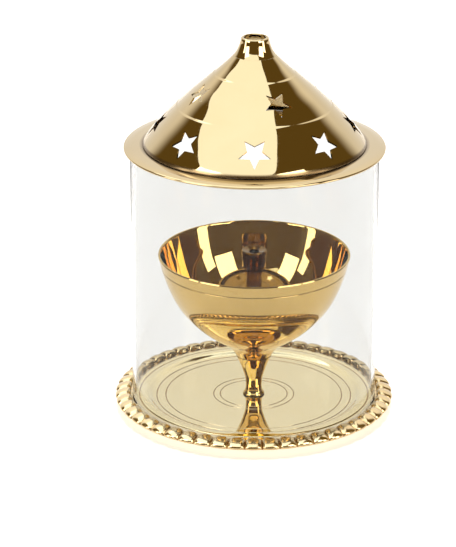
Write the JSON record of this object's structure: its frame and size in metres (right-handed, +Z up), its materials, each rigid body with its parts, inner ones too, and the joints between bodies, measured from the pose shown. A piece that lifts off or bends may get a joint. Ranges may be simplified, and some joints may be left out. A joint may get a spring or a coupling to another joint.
{
  "type": "glass chimney oil lamp",
  "caption": "Brass altar oil lamp: a footed oil bowl with a wick tube on a beaded round plate, under a clear glass cylinder and a conical lid pierced with stars.",
  "frame": {"origin": "centre of the foot ring, on the surface that the lamp stands on", "axes": "+Z up along the lamp's axis; -Y is the front, where one star of the lid's lower row is centred"},
  "size_m": [0.12, 0.1198, 0.1647],
  "materials": {
    "polished_brass": "mirror-polished brass",
    "turned_brass": "turned brass, lightly polished",
    "zinc_plated_steel": "zinc-plated steel",
    "clear_glass": "clear drawn glass tube"
  },
  "bodies": {
    "base": {"base_plate": "polished_brass", "stem": "polished_brass", "stem_screw": "zinc_plated_steel", "stem_washer": "zinc_plated_steel", "bowl": "polished_brass"},
    "wick_holder": {"wick_tube": "turned_brass", "wick_foot": "turned_brass"},
    "glass": {"glass_chimney": "clear_glass"},
    "lid": {"lid_flange": "polished_brass", "lid_skirt": "turned_brass", "lid_cone": "polished_brass", "lid_nozzle": "polished_brass"}
  },
  "joints": [
    {"name": "glass_lift", "type": "slide", "parent": "base", "child": "glass", "axis": [0, 0, 1], "range_m": [0, 0.12]},
    {"name": "lid_lift", "type": "slide", "parent": "glass", "child": "lid", "axis": [0, 0, 1], "range_m": [0, 0.06]},
    {"name": "wick_holder_lift", "type": "slide", "parent": "base", "child": "wick_holder", "axis": [0, 0, 1], "range_m": [0, 0.045]}
  ]
}
